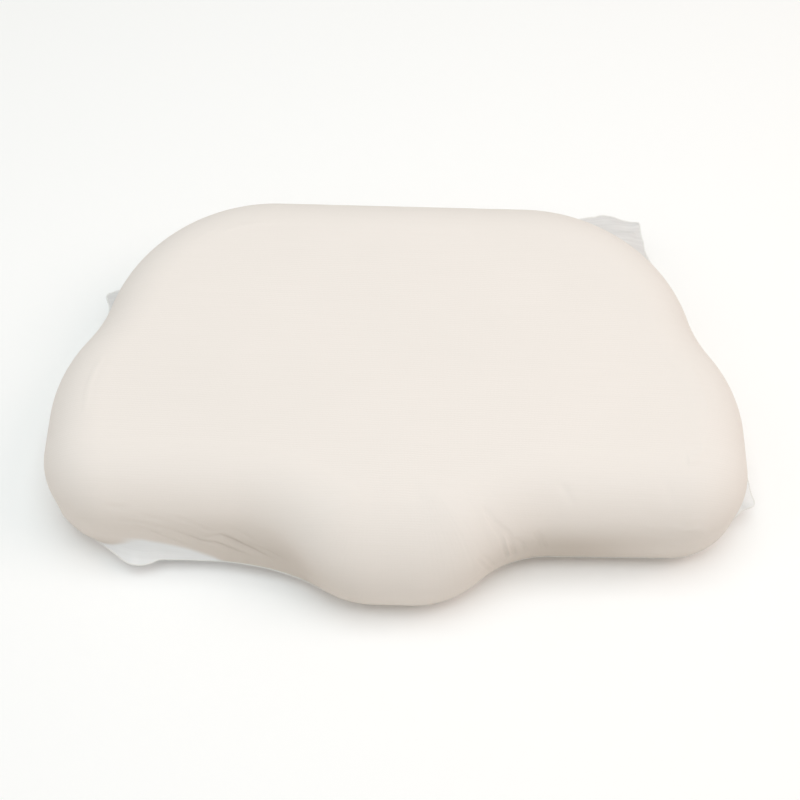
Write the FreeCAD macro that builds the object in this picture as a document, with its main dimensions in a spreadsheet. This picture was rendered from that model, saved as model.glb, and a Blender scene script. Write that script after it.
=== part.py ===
import FreeCAD, Part
import os
import re
import Sketcher

# Contoured foam head cushion in a thin knitted inner cover, in millimetres.
# +X runs across the wings, +Y towards the straight back edge, +Z up. The origin is on the
# surface that the cushion lies on, midway between the wings.
# The foam core is the master shape. The cover is a sack of two panels drawn over it, joined
# by one overlocked seam in a plane that tilts down towards the front, with loose fabric
# corners in that plane. A short coil zip closes the sack in the flat of the back wall.

DIMENSIONS = [
    # foam outline: half of it, as the corners of a polygon and the radius at each
    ("back_corner_x", 247), ("back_corner_y", 207), ("back_corner_radius", 157),
    ("waist_x", 276), ("waist_y", 60), ("waist_radius", 112),
    ("wing_x", 311), ("wing_y", 3), ("wing_radius", 134),
    ("wing_front_x", 307), ("wing_front_y", -133), ("wing_front_radius", 64),
    ("shoulder_x", 104), ("shoulder_y", -136), ("shoulder_radius", 92),
    ("lobe_x", 49), ("lobe_y", -185), ("lobe_radius", 86),
    # foam height and the rounding of its upper and lower edges
    ("foam_height", 118), ("top_rounding", 55), ("lobe_rounding", 80), ("bottom_rounding", 34),
    # cover fabric, and the air between it and the foam
    ("fabric_thickness", 1.0), ("fabric_gap", 0.3),
    # seam plane: its height at the back wall, its fall towards the front, its thread band
    ("seam_height", 50), ("seam_tilt", 4.9), ("seam_band", 1.2), ("corner_hem", 4),
    # zip in the back wall
    ("zip_length", 228), ("zip_slot_half", 5.5),
    ("tape_width", 11.5), ("tape_thickness", 0.6), ("tape_clearance", 0.05),
    ("tape_overrun", 8), ("tape_gap", 1.0),
    ("coil_width", 2.0), ("coil_thickness", 1.8), ("coil_gap", 0.6),
    ("stop_length", 3), ("stop_gap", 1), ("bottom_stop_length", 4), ("stop_wrap", 0.35),
    ("zip_recess_depth", 1.9), ("zip_recess_margin", 1.0),
    # stitching that holds the zip
    ("stitch_offset", 8), ("stitch_width", 0.5), ("stitch_height", 0.35),
    ("tack_length", 2), ("tack_height", 0.6), ("tack_half_span", 6.5),
    # slider
    ("slider_length", 9), ("slider_width", 7.2), ("slider_start_gap", 0.5), ("plate_thickness", 0.9),
    ("plate_clearance", 0.15), ("flange_thickness", 0.7), ("flange_drop", 1.3),
    ("divider_length", 3), ("divider_thickness", 0.44),
    ("bail_length", 4.4), ("bail_width", 1.6), ("bail_height", 2.4),
    # pull tab, hinged on a pin through the slider's bail
    ("pin_radius", 0.75), ("pin_clearance", 0.05), ("pin_rise", 0.9),
    ("tab_width", 5.4), ("tab_thickness", 1.0), ("tab_reach", 24), ("tab_eye_reach", 4.6),
    ("tab_eye_half", 1.2),
]

# Loose corners of the sack in plan, x and y. Each starts and ends under the foam's edge.
LOOSE_CORNERS = {
    "back_right": [(110, 190), (150, 214), (205, 221), (241, 217), (252, 188), (262, 120), (150, 100)],
    "back_left": [(-200, 150), (-262, 142), (-286, 117), (-282, 96), (-268, 62), (-200, 70)],
    "front_left": [(-270, -90), (-282, -112), (-258, -132), (-228, -149), (-169, -144),
                   (-40, -182), (-40, -140), (-200, -100)],
    "front_right": [(290, -10), (312, -30), (323, -80), (317, -92), (290, -100)],
}

HALF_OUTLINE = ["back_corner", "waist", "wing", "wing_front", "shoulder", "lobe"]

for name, corners in LOOSE_CORNERS.items():
    for number, (x, y) in enumerate(corners, start=1):
        DIMENSIONS += [(f"{name}_{number}_x", x), (f"{name}_{number}_y", y)]

doc = FreeCAD.newDocument("head_cushion")
sheet = doc.addObject("Spreadsheet::Sheet", "Dimensions")
for row, (alias, value) in enumerate(DIMENSIONS, start=1):
    sheet.set(f"A{row}", alias)
    sheet.set(f"B{row}", str(value))
    sheet.setAlias(f"B{row}", alias)
doc.recompute()

size = dict(DIMENSIONS)
sub_parts = []


def cells(formula):
    """A formula with each driving dimension written as a spreadsheet reference."""
    return re.sub(r"\b[a-z]\w+", lambda m: f"Dimensions.{m[0]}" if m[0] in size else m[0], formula)


def bind(item, **formulas):
    """Ties each property of the object to a formula of driving dimensions."""
    for name, formula in formulas.items():
        item.setExpression(name.replace("__", "."), cells(formula))
    return item


def at(item, x="0", y="0", z="0"):
    """Ties the place of the object's own origin to formulas."""
    return bind(item, Placement__Base__x=x, Placement__Base__y=y, Placement__Base__z=z)


def box(name, length, width, height, x, y, z):
    """A block with its lowest corner at x, y, z."""
    item = doc.addObject("Part::Box", name)
    bind(item, Length=length, Width=width, Height=height)
    return at(item, x, y, z)


def combine(kind, name, first, second):
    """The boolean Cut or Common of two objects."""
    item = doc.addObject(f"Part::{kind}", name)
    item.Base, item.Tool = first, second
    return item


def fuse(name, *items):
    item = doc.addObject("Part::MultiFuse", name)
    item.Shapes = list(items)
    return item


def offset(name, source, formula):
    """The source's skin moved outwards by a formula of driving dimensions."""
    item = doc.addObject("Part::Offset", name)
    item.Source = source
    return bind(item, Value=formula)


def sub_part(item, label):
    item.Label = label
    sub_parts.append(item)
    return item


# ---- foam core -------------------------------------------------------------------------

def polygon(sketch, corners):
    """Closed straight outline through the corners."""
    count = len(corners)
    points = [FreeCAD.Vector(x, y, 0) for x, y in corners]
    for i in range(count):
        sketch.addGeometry(Part.LineSegment(points[i], points[(i + 1) % count]), False)
    for i in range(count):
        sketch.addConstraint(Sketcher.Constraint("Coincident", i, 2, (i + 1) % count, 1))
    return points


def flat_sketch(body, name):
    """A sketch on the body's own XY plane."""
    plane = [f for f in body.Origin.OriginFeatures if f.Role == "XY_Plane"][0]
    sketch = body.newObject("Sketcher::SketchObject", name)
    sketch.AttachmentSupport = [(plane, "")]
    sketch.MapMode = "FlatFace"
    return sketch


def place_corner(sketch, line, side, corner):
    """Holds the start of a line at the named outline corner, on the side given as 1 or -1."""
    if side > 0:
        index = sketch.addConstraint(Sketcher.Constraint("DistanceX", -1, 1, line, 1, size[corner + "_x"]))
    else:
        index = sketch.addConstraint(Sketcher.Constraint("DistanceX", line, 1, -1, 1, size[corner + "_x"]))
    sketch.setExpression(f"Constraints[{index}]", f"Dimensions.{corner}_x")
    index = sketch.addConstraint(Sketcher.Constraint("DistanceY", -1, 1, line, 1, size[corner + "_y"]))
    sketch.setExpression(f"Constraints[{index}]", f"Dimensions.{corner}_y")


EDGE_MATCH = 0.01  # how near an edge or point must be to count as being there


def foam_outline(body):
    """The butterfly outline: a straight back, a waist and a wing each side, and a neck lobe."""
    sketch = flat_sketch(body, "FoamOutline")
    names = HALF_OUTLINE + HALF_OUTLINE[::-1]
    sides = [1] * len(HALF_OUTLINE) + [-1] * len(HALF_OUTLINE)
    corners = [(s * size[n + "_x"], size[n + "_y"]) for n, s in zip(names, sides)]
    points = polygon(sketch, corners)
    for line, (name, side) in enumerate(zip(names, sides)):
        place_corner(sketch, line, side, name)
    count = len(points)
    for i in range(count):
        after = (i + 1) % count
        before_mid = (points[i] + points[after]) / 2
        after_mid = (points[after] + points[(after + 1) % count]) / 2
        radius = size[names[after] + "_radius"]
        sketch.fillet(i, after, before_mid, after_mid, radius, True, True)
    arcs = [g for g, item in enumerate(sketch.Geometry) if isinstance(item, Part.ArcOfCircle)]
    for arc, name in zip(arcs, names[1:] + names[:1]):
        index = sketch.addConstraint(Sketcher.Constraint("Radius", arc, size[name + "_radius"]))
        sketch.setExpression(f"Constraints[{index}]", f"Dimensions.{name}_radius")
    return sketch


def edges_at(shape, height):
    """The numbers of the edges that lie flat at that height."""
    return [
        i for i, edge in enumerate(shape.Edges, start=1)
        if max(abs(edge.BoundBox.ZMin - height), abs(edge.BoundBox.ZMax - height)) < EDGE_MATCH
    ]


def top_radius_at(point):
    """The rounding of the upper edge: it grows down the shoulders to its full size on the lobe."""
    low, high = size["shoulder_y"] - EDGE_MATCH, size["lobe_y"] + EDGE_MATCH
    share = min(max((low - point.y) / (low - high), 0), 1) if abs(point.x) < size["wing_x"] / 2 else 0
    return size["top_rounding"] + share * (size["lobe_rounding"] - size["top_rounding"])


def foam_blank():
    """The moulded foam before the zip has pressed its groove into the back wall."""
    body = doc.addObject("PartDesign::Body", "FoamBlank")
    at(body, z="fabric_thickness + fabric_gap")
    pad = body.newObject("PartDesign::Pad", "FoamPad")
    pad.Profile = foam_outline(body)
    bind(pad, Length="foam_height")
    doc.recompute()
    bottom = body.newObject("PartDesign::Fillet", "BottomRounding")
    bottom.Base = (pad, [f"Edge{edges_at(pad.Shape, 0)[0]}"])
    bind(bottom, Radius="bottom_rounding")
    doc.recompute()
    top = doc.addObject("Part::Fillet", "TopRounding")
    top.Base = body
    body_top = size["fabric_thickness"] + size["fabric_gap"] + size["foam_height"]
    rows = []
    for number in edges_at(body.Shape, body_top):
        edge = body.Shape.Edges[number - 1]
        ends = edge.valueAt(edge.FirstParameter), edge.valueAt(edge.LastParameter)
        rows.append((number, *map(top_radius_at, ends)))
    top.Edges = rows
    doc.recompute()
    return top


blank = foam_blank()

# Planes of the back wall, from the foam outwards.
COVER_INSIDE = "back_corner_y + fabric_gap"
COVER_OUTSIDE = "back_corner_y + fabric_gap + fabric_thickness"
TAPE_INSIDE = "back_corner_y + fabric_gap - tape_thickness"

recess = box(
    "ZipRecess",
    "zip_length + 2 * ( tape_overrun + zip_recess_margin )",
    "zip_recess_depth + fabric_gap",
    "2 * ( tape_gap / 2 + tape_width + zip_recess_margin )",
    "-1 * ( zip_length / 2 + tape_overrun + zip_recess_margin )",
    "back_corner_y - zip_recess_depth",
    "seam_height - ( tape_gap / 2 + tape_width + zip_recess_margin )",
)
sub_part(combine("Cut", "FoamCore", blank, recess), "foam_core")

# ---- cover panels and their seam ---------------------------------------------------------

SEAM_REACH = 800  # side of the blocks that divide the cover, well past the cushion


def in_seam_plane(item, x, y, z):
    """Places an object by an offset within the seam plane, whose own origin is at the back wall."""
    item.Placement = FreeCAD.Placement(FreeCAD.Vector(), FreeCAD.Rotation(FreeCAD.Vector(1, 0, 0), 1))
    bind(item, Placement__Rotation__Angle="seam_tilt")
    tilt = "seam_tilt * 1deg"
    wall = COVER_OUTSIDE
    return at(
        item, x,
        f"{wall} + ( {y} ) * cos( {tilt} ) - ( {z} ) * sin( {tilt} )",
        f"seam_height + ( {y} ) * sin( {tilt} ) + ( {z} ) * cos( {tilt} )",
    )


def half_space(name, z):
    """A block whose lower face lies in the seam plane, shifted up its normal by z."""
    item = doc.addObject("Part::Box", name)
    item.Length = item.Width = item.Height = SEAM_REACH
    return in_seam_plane(item, str(-SEAM_REACH / 2), str(-0.9 * SEAM_REACH), z)


def corner_sketch(name, count):
    """The plan of one loose corner, in the seam plane, each point held by two sheet cells."""
    outline = doc.addObject("Sketcher::SketchObject", f"{name}_outline")
    back = size["back_corner_y"]
    cell_names = [f"{name}_{i}" for i in range(1, count + 1)]
    polygon(outline, [(size[c + "_x"], size[c + "_y"] - back) for c in cell_names])
    for line, cell in enumerate(cell_names):
        for kind, value, formula in (
            ("DistanceX", size[cell + "_x"], f"{cell}_x"),
            ("DistanceY", size[cell + "_y"] - back, f"{cell}_y - back_corner_y"),
        ):
            ends = (-1, 1, line, 1) if value > 0 else (line, 1, -1, 1)
            sign = "1" if value > 0 else "-1"
            index = outline.addConstraint(Sketcher.Constraint(kind, *ends, abs(value)))
            outline.setExpression(f"Constraints[{index}]", cells(f"{sign} * ( {formula} )"))
    return in_seam_plane(outline, "0", "-1 * ( fabric_gap + fabric_thickness )", "0")


def thick_plate(name, profile, half_thickness):
    """A plate with the profile's plan, as thick above the seam plane as below it."""
    plate = doc.addObject("Part::Extrusion", name)
    plate.Base = profile
    plate.DirMode = "Normal"
    plate.Solid = True
    return bind(plate, LengthFwd=half_thickness, LengthRev=half_thickness)


corner_plates, corner_pockets = [], []
for name, corners in LOOSE_CORNERS.items():
    plan = corner_sketch(name, len(corners))
    corner_plates.append(thick_plate(f"{name}_corner", plan, "fabric_thickness + seam_band / 2"))
    inner_plan = doc.addObject("Part::Offset2D", f"{name}_inner_plan")
    inner_plan.Source = plan
    bind(inner_plan, Value="-1 * corner_hem")
    corner_pockets.append(thick_plate(f"{name}_pocket", inner_plan, "seam_band / 2"))

cover_inside = offset("CoverInside", blank, "fabric_gap")
cover_outside = offset("CoverOutside", blank, "fabric_gap + fabric_thickness")
envelope = fuse("CoverEnvelope", cover_outside, *corner_plates)
cover_hollow = fuse("CoverHollow", cover_inside, *corner_pockets)
shell = combine("Cut", "CoverShell", envelope, cover_hollow)

slot = box(
    "ZipSlot", "zip_length", "4 * fabric_thickness", "2 * zip_slot_half",
    "-1 * zip_length / 2", f"{COVER_OUTSIDE} - 2 * fabric_thickness", "seam_height - zip_slot_half",
)
open_shell = combine("Cut", "OpenShell", shell, slot)
above = half_space("AboveSeam", "seam_band / 2")
from_seam = half_space("FromSeam", "-1 * seam_band / 2")
sub_part(combine("Common", "TopPanel", open_shell, above), "cover_top_panel")
sub_part(combine("Cut", "BottomPanel", open_shell, from_seam), "cover_bottom_panel")
seam_and_top = combine("Common", "SeamAndTop", open_shell, from_seam)
sub_part(combine("Cut", "Seam", seam_and_top, above), "overlock_seam")

# ---- zip tapes, coils and stops --------------------------------------------------------------

def mirrored_pair(make):
    """Calls make for the upper side and the lower side of the zip's centre line."""
    for side, name in ((1, "upper"), (-1, "lower")):
        make(side, name)


def zip_box(name, length, width, height, x, y, near, side):
    """A block whose near face is that far above or below the zip's centre line."""
    low = f"seam_height + {near}" if side > 0 else f"seam_height - ( {near} ) - ( {height} )"
    return box(name, length, width, height, x, y, low)


def tape(side, name):
    item = zip_box(
        f"Tape_{name}", "zip_length + 2 * tape_overrun", "tape_thickness - tape_clearance", "tape_width",
        "-1 * ( zip_length / 2 + tape_overrun )", TAPE_INSIDE, "tape_gap / 2", side,
    )
    sub_part(item, f"zip_tape_{name}")


def coil(side, name):
    item = zip_box(
        f"Coil_{name}", "zip_length - 2 * stop_length - bottom_stop_length", "coil_thickness", "coil_width",
        "-1 * zip_length / 2 + stop_length + bottom_stop_length", COVER_INSIDE, "coil_gap / 2", side,
    )
    sub_part(item, f"zip_coil_{name}")


def top_stop(side, name):
    item = zip_box(
        f"TopStop_{name}", "stop_length - stop_gap", "coil_thickness + stop_wrap", "coil_width + stop_wrap",
        "zip_length / 2 - stop_length", COVER_INSIDE, "coil_gap / 2", side,
    )
    sub_part(item, f"zip_top_stop_{name}")


def topstitch(side, name):
    item = zip_box(
        f"Stitch_{name}", "zip_length + 2 * tack_length", "stitch_height", "stitch_width",
        "-1 * ( zip_length / 2 + tack_length )", COVER_OUTSIDE, "stitch_offset", side,
    )
    sub_part(item, f"topstitch_{name}")


for maker in (tape, coil, top_stop, topstitch):
    mirrored_pair(maker)

bottom_stop = box(
    "BottomStop", "bottom_stop_length", "coil_thickness + stop_wrap",
    "2 * ( coil_width + stop_wrap ) + coil_gap",
    "-1 * zip_length / 2 + stop_length", COVER_INSIDE, "seam_height - coil_gap / 2 - coil_width - stop_wrap",
)
sub_part(bottom_stop, "zip_bottom_stop")

for label, start in (
    ("bar_tack_left", "-1 * ( zip_length / 2 + tack_length )"),
    ("bar_tack_right", "zip_length / 2"),
):
    tack = box(
        label.title(), "tack_length", "tack_height", "2 * tack_half_span",
        start, COVER_OUTSIDE, "seam_height - tack_half_span",
    )
    sub_part(tack, label)

# ---- slider ------------------------------------------------------------------------------------

SLIDER_START = "zip_length / 2 - stop_length - slider_length - slider_start_gap"
SLIDER_LOW_Z = "seam_height - slider_width / 2"
INNER_PLATE_TOP = f"{TAPE_INSIDE} - plate_clearance"
OUTER_PLATE_FOOT = f"{COVER_INSIDE} + coil_thickness + plate_clearance"
PLATE_TOP = f"{OUTER_PLATE_FOOT} + plate_thickness"
PIN_LEVEL = f"{PLATE_TOP} + pin_rise"
PIN_X = f"{SLIDER_START} + slider_length / 2"

inner_plate = box(
    "InnerPlate", "slider_length", "plate_thickness", "slider_width",
    SLIDER_START, f"{INNER_PLATE_TOP} - plate_thickness", SLIDER_LOW_Z,
)
outer_plate = box(
    "OuterPlate", "slider_length", "plate_thickness", "slider_width",
    SLIDER_START, OUTER_PLATE_FOOT, SLIDER_LOW_Z,
)
flanges = [
    zip_box(
        f"Flange_{name}", "slider_length", "flange_drop + plate_thickness", "flange_thickness",
        SLIDER_START, f"{OUTER_PLATE_FOOT} - flange_drop", "slider_width / 2 - flange_thickness", side,
    )
    for side, name in ((1, "upper"), (-1, "lower"))
]
divider = box(
    "Divider", "divider_length", f"{OUTER_PLATE_FOOT} - ( {INNER_PLATE_TOP} ) + plate_thickness",
    "divider_thickness", f"{SLIDER_START} + slider_length - divider_length",
    f"{INNER_PLATE_TOP} - plate_thickness / 2", "seam_height - divider_thickness / 2",
)
bail = box(
    "Bail", "bail_length", "bail_height", "bail_width",
    f"{PIN_X} - bail_length / 2", PLATE_TOP, "seam_height - bail_width / 2",
)
slider_solid = fuse("SliderSolid", inner_plate, outer_plate, *flanges, divider, bail)
pin_hole = doc.addObject("Part::Cylinder", "PinHole")
bind(pin_hole, Radius="pin_radius + pin_clearance", Height="2 * bail_width")
at(pin_hole, PIN_X, PIN_LEVEL, "seam_height - bail_width")
sub_part(combine("Cut", "Slider", slider_solid, pin_hole), "zip_slider")

# ---- pull tab ------------------------------------------------------------------------------------

pin = doc.addObject("Part::Cylinder", "TabPin")
bind(pin, Radius="pin_radius", Height="tab_width")
at(pin, PIN_X, PIN_LEVEL, "seam_height - tab_width / 2")
tab_plate = box(
    "TabPlate", "tab_reach", "tab_thickness", "tab_width",
    f"{PIN_X} - tab_reach", f"{PIN_LEVEL} - tab_thickness / 2", "seam_height - tab_width / 2",
)
tab_eye = box(
    "TabEye", "tab_eye_reach + 4 * pin_radius", "4 * tab_thickness", "2 * tab_eye_half",
    f"{PIN_X} - tab_eye_reach", f"{PIN_LEVEL} - 2 * tab_thickness", "seam_height - tab_eye_half",
)
eyed_plate = combine("Cut", "EyedPlate", tab_plate, tab_eye)
sub_part(fuse("PullTab", eyed_plate, pin), "zip_pull_tab")

# ---- check and write -------------------------------------------------------------------------------

doc.recompute()
for item in doc.Objects:
    if "Invalid" in item.State or "Error" in item.State:
        raise RuntimeError(f"{item.Name} failed: {item.State}")
os.makedirs("parts", exist_ok=True)
for item in sub_parts:
    shape = item.Shape
    if shape.isNull() or not shape.isValid() or not shape.Solids:
        raise RuntimeError(f"{item.Label} has no valid solid")
for item in sub_parts:
    item.Shape.exportStep(os.path.join("parts", f"{item.Label}.step"))
    bound = item.Shape.BoundBox
    print(
        f"{item.Label:22s} solids {len(item.Shape.Solids)} volume {item.Shape.Volume:12.1f} "
        f"x {bound.XMin:8.2f}..{bound.XMax:8.2f} y {bound.YMin:8.2f}..{bound.YMax:8.2f} "
        f"z {bound.ZMin:7.2f}..{bound.ZMax:7.2f}"
    )
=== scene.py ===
import math

import bmesh
import bpy
import numpy as np
from mathutils import Matrix, Vector, kdtree
from mathutils.geometry import delaunay_2d_cdt, tessellate_polygon


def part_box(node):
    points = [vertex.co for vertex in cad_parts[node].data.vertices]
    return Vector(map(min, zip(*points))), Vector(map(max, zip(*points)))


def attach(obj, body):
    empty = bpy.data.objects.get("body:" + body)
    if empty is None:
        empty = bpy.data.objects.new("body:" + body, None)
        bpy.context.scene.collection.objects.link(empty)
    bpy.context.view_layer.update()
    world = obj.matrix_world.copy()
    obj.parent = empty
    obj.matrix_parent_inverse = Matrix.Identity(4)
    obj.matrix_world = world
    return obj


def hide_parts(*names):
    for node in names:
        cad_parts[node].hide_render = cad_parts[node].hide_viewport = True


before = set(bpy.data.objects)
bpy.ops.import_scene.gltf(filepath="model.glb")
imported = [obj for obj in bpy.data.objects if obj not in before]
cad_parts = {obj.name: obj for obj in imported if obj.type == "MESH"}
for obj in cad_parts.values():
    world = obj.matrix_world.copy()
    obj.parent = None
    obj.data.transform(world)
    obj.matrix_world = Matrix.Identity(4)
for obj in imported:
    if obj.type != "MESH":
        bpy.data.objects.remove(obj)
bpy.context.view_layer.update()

# A contoured foam cushion in a thin knitted cover with loose corners, in metres.
# The cover is two panels of fine mesh, drawn over the foam's outline and joined at the seam.

MM = 0.001

# ---- driving sizes, as in the CAD ----

# half of the foam's plan: corner x, corner y, radius
HALF_OUTLINE = np.array([
    (247, 207, 157), (276, 60, 112), (311, 3, 134), (307, -133, 64), (104, -136, 92), (49, -185, 86),
]) * MM
TOP_ROUNDING, LOBE_ROUNDING, BOTTOM_ROUNDING = 55 * MM, 80 * MM, 34 * MM
SEAM_FALL = math.tan(math.radians(4.9))

foam_low, foam_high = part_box("foam_core")
FOAM_FLOOR, FOAM_TOP = foam_low.z, foam_high.z
tape_low, tape_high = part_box("zip_tape_lower"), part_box("zip_tape_upper")
ZIP_Z = (tape_low[1].z + tape_high[0].z) / 2
BACK_Y = HALF_OUTLINE[0, 1]
COVER_BACK_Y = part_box("topstitch_upper")[0].y
ZIP_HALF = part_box("bar_tack_right")[0].x
SLOT_HALF = 5.5 * MM        # half the height of the slot that shows the zip

STITCH_LINE = 8.25 * MM     # from the zip's centre line to each row of topstitching
CLOTH_GAP = 0.8 * MM        # from the foam to the middle of the cloth
INNER_RING = 57 * MM        # how far in from the foam's edge the side band of each panel begins
EASE = 12 * MM              # how softly the flat top turns into its rounding

# the two shoulder recesses: the middle of each, how deep the painted shade in it is, and how far that
# reaches
RECESSES = (((150 * MM, -138 * MM), 0.67), ((-118 * MM, -146 * MM), 0.95))
RECESS_REACH = 67 * MM


# ---- small helpers ----

def smooth(low, high, value):
    """0 below low, 1 above high, and an even curve between them."""
    t = np.clip((np.asarray(value, float) - low) / (high - low), 0, 1)
    return t * t * (3 - 2 * t)


def unit(vectors):
    return vectors / np.maximum(np.linalg.norm(vectors, axis=-1, keepdims=True), 1e-12)


def mix(a, b, share):
    return a + (b - a) * share


def lengths_along(path):
    """How far each point of a path, or of a stack of paths, lies from its start."""
    steps = np.linalg.norm(np.diff(path, axis=-2), axis=-1)
    return np.insert(np.cumsum(steps, axis=-1), 0, 0, axis=-1)


def at_lengths(path, run, where):
    """Points of a path at distances along it."""
    return np.stack([np.interp(where, run, path[:, k]) for k in range(path.shape[1])], -1)


def resample(path, shares):
    """Points of a path at shares of its length."""
    run = lengths_along(path)
    return at_lengths(path, run, shares * run[-1])


def catmull_rom(a, b, c, d, t):
    """The curve from b to c at shares t, with its neighbours a and d."""
    square, cube = 2 * a - 5 * b + 4 * c - d, 3 * b - a - 3 * c + d
    return 0.5 * (2 * b + (c - a) * t + square * t ** 2 + cube * t ** 3)


class Ripples:
    """A smooth random field: a sum of plane waves with seeded directions and phases."""

    def __init__(self, seed, wavelength, count=14):
        random = np.random.RandomState(seed)
        directions = unit(random.normal(size=(count, 3)))
        lengths = wavelength * random.uniform(0.7, 1.5, size=(count, 1))
        self.waves = directions * 2 * np.pi / lengths
        self.phases = random.uniform(0, 2 * np.pi, size=count)

    def at(self, points):
        """About -1 to 1 at each point."""
        angles = points @ self.waves.T + self.phases
        return np.sin(angles).sum(-1) / math.sqrt(len(self.phases))


def linked(thing):
    bpy.context.scene.collection.objects.link(thing)
    return thing


def new_mesh(name, points, faces, material):
    mesh = bpy.data.meshes.new(name)
    mesh.from_pydata([tuple(p) for p in points], [], [tuple(int(i) for i in f) for f in faces])
    mesh.validate()
    mesh.materials.append(material)
    mesh.polygons.foreach_set("use_smooth", [True] * len(mesh.polygons))
    return linked(bpy.data.objects.new(name, mesh))


def set_attribute(piece, name, values):
    """A value or vector per point, for a material to read."""
    kind, key = ("FLOAT", "value") if np.ndim(values) == 1 else ("FLOAT_VECTOR", "vector")
    attribute = piece.data.attributes.new(name, kind, "POINT")
    attribute.data.foreach_set(key, np.asarray(values, np.float32).ravel())


def grid_faces(rows, columns, flip=False):
    """Quads of a grid of rows by columns of points, its rows joined in a ring."""
    i, j = np.meshgrid(np.arange(rows), np.arange(columns - 1), indexing="ij")
    k = (i + 1) % rows
    quads = np.stack([i * columns + j, k * columns + j, k * columns + j + 1, i * columns + j + 1], -1)
    return list(quads.reshape(-1, 4)[:, ::-1 if flip else 1])


def grid_normals(grid):
    """Unit normals of a ring of rows, pointing out of the cushion."""
    along = np.roll(grid, -1, axis=0) - np.roll(grid, 1, axis=0)
    across = np.gradient(grid, axis=1)
    return unit(np.cross(across, along))


# ---- plan outline ----

def rounded_loop(corners, step):
    """Points and outward normals round a clockwise polygon with a radius at each corner."""
    points, normals = [], []
    count = len(corners)
    for i in range(count):
        before, here, after = corners[i - 1][:2], corners[i][:2], corners[(i + 1) % count][:2]
        radius = corners[i][2]
        way_in, way_out = unit(here - before), unit(after - here)
        turn = math.atan2(way_in[0] * way_out[1] - way_in[1] * way_out[0], way_in @ way_out)
        left = np.array([-way_in[1], way_in[0]])
        start = here - way_in * radius * math.tan(abs(turn) / 2)
        centre = start + math.copysign(radius, turn) * left
        parts = max(2, math.ceil(radius * abs(turn) / step))
        for angle in np.linspace(0, turn, parts + 1):
            spin = np.array([[math.cos(angle), -math.sin(angle)], [math.sin(angle), math.cos(angle)]])
            points.append(centre + spin @ (start - centre))
            normals.append(spin @ left)
    return np.array(points), np.array(normals)


def top_rounding_at(plan):
    """The rounding of the foam's upper edge at points of its outline: fuller on the neck lobe."""
    shoulder, lobe = HALF_OUTLINE[4, 1], HALF_OUTLINE[5, 1]
    share = np.clip((shoulder - plan[..., 1]) / (shoulder - lobe), 0, 1) ** 2
    return mix(TOP_ROUNDING, LOBE_ROUNDING, share * (np.abs(plan[..., 0]) < HALF_OUTLINE[2, 0] / 2))


class Outline:
    """The foam's plan as a curve by distance round it, clockwise from the middle of the back."""

    def __init__(self):
        mirrored = HALF_OUTLINE[::-1] * (-1, 1, 1)
        points, normals = rounded_loop(np.vstack([HALF_OUTLINE, mirrored]), 0.5 * MM)
        back = np.array([[0, BACK_Y]])
        up = np.array([[0, 1.0]])
        self.points = np.vstack([back, points, back])
        self.normals = np.vstack([up, normals, up])
        self.lengths = lengths_along(self.points)
        self.total = self.lengths[-1]
        ticks = np.arange(0, self.total, 1 * MM)
        self.dense = self.at(ticks)
        self.dense_normals = self.normal_at(ticks)
        self.dense_rounding = top_rounding_at(self.dense)
        self.ticks = ticks
        self.tree = kdtree.KDTree(len(ticks))
        for i, (x, y) in enumerate(self.dense):
            self.tree.insert((x, y, 0), i)
        self.tree.balance()

    def at(self, length):
        return at_lengths(self.points, self.lengths, length)

    def normal_at(self, length):
        return unit(at_lengths(self.normals, self.lengths, length))

    def nearest(self, points):
        """The index on the dense outline nearest each plan point."""
        flat = points.reshape(-1, 2)
        found = [self.tree.find((x, y, 0))[1] for x, y in flat]
        return np.array(found).reshape(points.shape[:-1])

    def measure(self, points):
        """The nearest index for each plan point, and how far inside the outline it is."""
        near = self.nearest(points)
        return near, -((points - self.dense[near]) * self.dense_normals[near]).sum(-1)

    def length_near(self, x, y):
        return self.ticks[self.nearest(np.array([[x, y]]) * MM)[0]]


outline = Outline()


def seam_level(y):
    """Height of the seam plane."""
    return ZIP_Z - (COVER_BACK_Y - y) * SEAM_FALL


# ---- loose corners of the sack ----
# In mm, and clockwise: where the seam leaves the foam, the points that its edge passes, where it
# comes back, and how far it rises above the seam plane. By the share of the edge passed, taut is
# how straight the cloth runs from the foam's upper edge to the seam (0 clings to the wall and
# turns out as a fin), and sheer is the height above the seam plane that it shows white up to.

LOOSE_CORNERS = {
    "back_right": dict(
        start=(128, 207), end=(268, 118), rise=4,
        points=[(152, 214), (172, 220), (190, 225), (210, 227.5), (226, 222.5), (239.5, 218.5),
                (241.5, 213), (243.5, 198), (247, 180), (255, 158)],
    ),
    "front_right": dict(
        start=(311, -10), end=(303, -104), rise=3,
        points=[(315, -26), (320, -44), (324, -60), (326.5, -73), (328, -80.5), (325, -84),
                (318, -86), (310, -93)],
    ),
    "front_left": dict(
        start=(-38, -187), end=(-298, -96), rise=0,
        taut=[(0, 0.2), (0.3, 1), (0.42, 1), (0.72, 0.1), (1, 0)],
        sheer=[(0.38, -6), (0.44, 6), (0.52, 15), (0.66, 24)],
        points=[(-60, -170), (-82, -160), (-109, -152), (-140, -147), (-170, -145.5),
                (-200, -145.5), (-209, -146.5), (-215, -149.5), (-223, -151.5), (-232, -151.5),
                (-240, -147.5), (-249, -141), (-261, -133), (-272, -124)],
    ),
    "back_left": dict(
        start=(-276, 66), end=(-232, 163), rise=3,
        points=[(-282, 84), (-284, 100), (-285, 108), (-289, 119), (-283, 122.5), (-275, 125.5),
                (-270, 131), (-265, 146)],
    ),
}


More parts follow.
